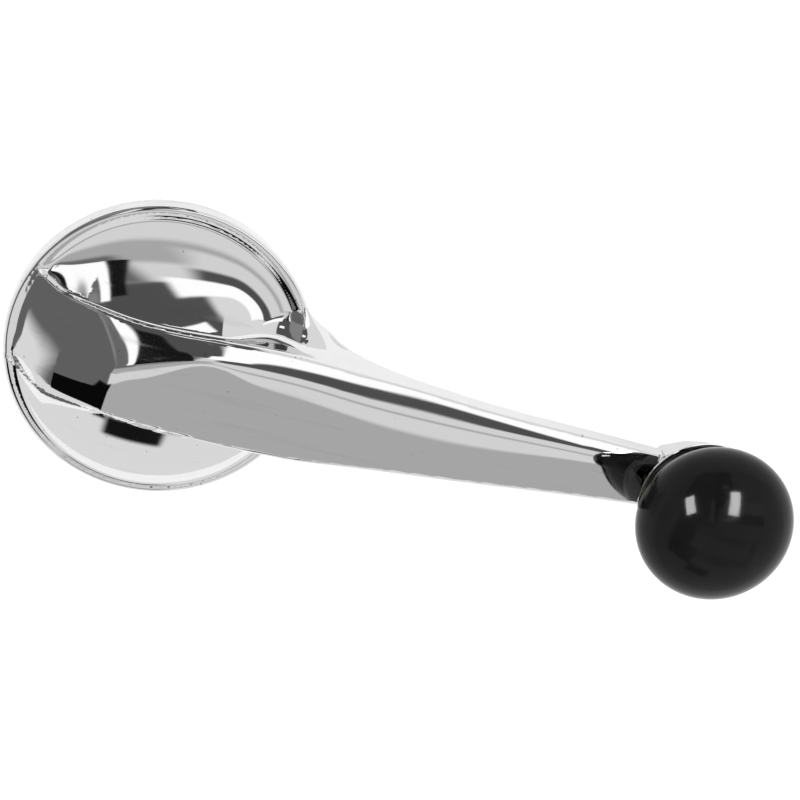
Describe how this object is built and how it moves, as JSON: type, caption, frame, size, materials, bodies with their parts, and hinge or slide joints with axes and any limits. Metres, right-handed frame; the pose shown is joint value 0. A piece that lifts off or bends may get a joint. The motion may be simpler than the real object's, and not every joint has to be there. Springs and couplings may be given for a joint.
{
  "type": "crank handle",
  "caption": "Chrome crank handle with a round hub, a tapering arm and a spinning black ball knob, held on a splined spindle by a spring clip.",
  "frame": {"origin": "on the axis that the handle turns about, in the plane of the friction washer's back face, which bears on the panel", "axes": "+Z along the turning axis, away from the panel; +X from that axis along the arm to the knob; the scooped side of the hub is +Y"},
  "size_m": [0.1502, 0.057, 0.0358],
  "materials": {
    "chrome_plate": "mirror bright plating over a die casting",
    "plated_steel": "dull zinc plate",
    "white_nylon": "moulded, satin",
    "brass": "turned",
    "black_plastic": "polished black"
  },
  "bodies": {
    "crank": {"crank_casting": "chrome_plate", "drive_socket": "plated_steel", "socket_pin": "plated_steel", "knob_stud": "plated_steel", "rivet_washer": "plated_steel", "knob_collar": "chrome_plate", "wave_washer": "plated_steel"},
    "knob": {"knob_ball": "black_plastic", "knob_bush": "brass", "thrust_washer": "white_nylon"},
    "washer": {"friction_washer": "white_nylon"},
    "clip": {"retaining_clip": "plated_steel"}
  },
  "joints": [
    {"name": "knob_spin", "type": "hinge", "parent": "crank", "child": "knob", "pos_m": [0.1067, 0, 0.0189], "axis": [0, 0, 1], "continuous": true},
    {"name": "washer_turn", "type": "hinge", "parent": "crank", "child": "washer", "pos_m": [0, 0, 0.0008], "axis": [0, 0, 1], "continuous": true},
    {"name": "clip_release", "type": "slide", "parent": "crank", "child": "clip", "axis": [-1, 0, 0], "range_m": [0, 0.006]}
  ]
}
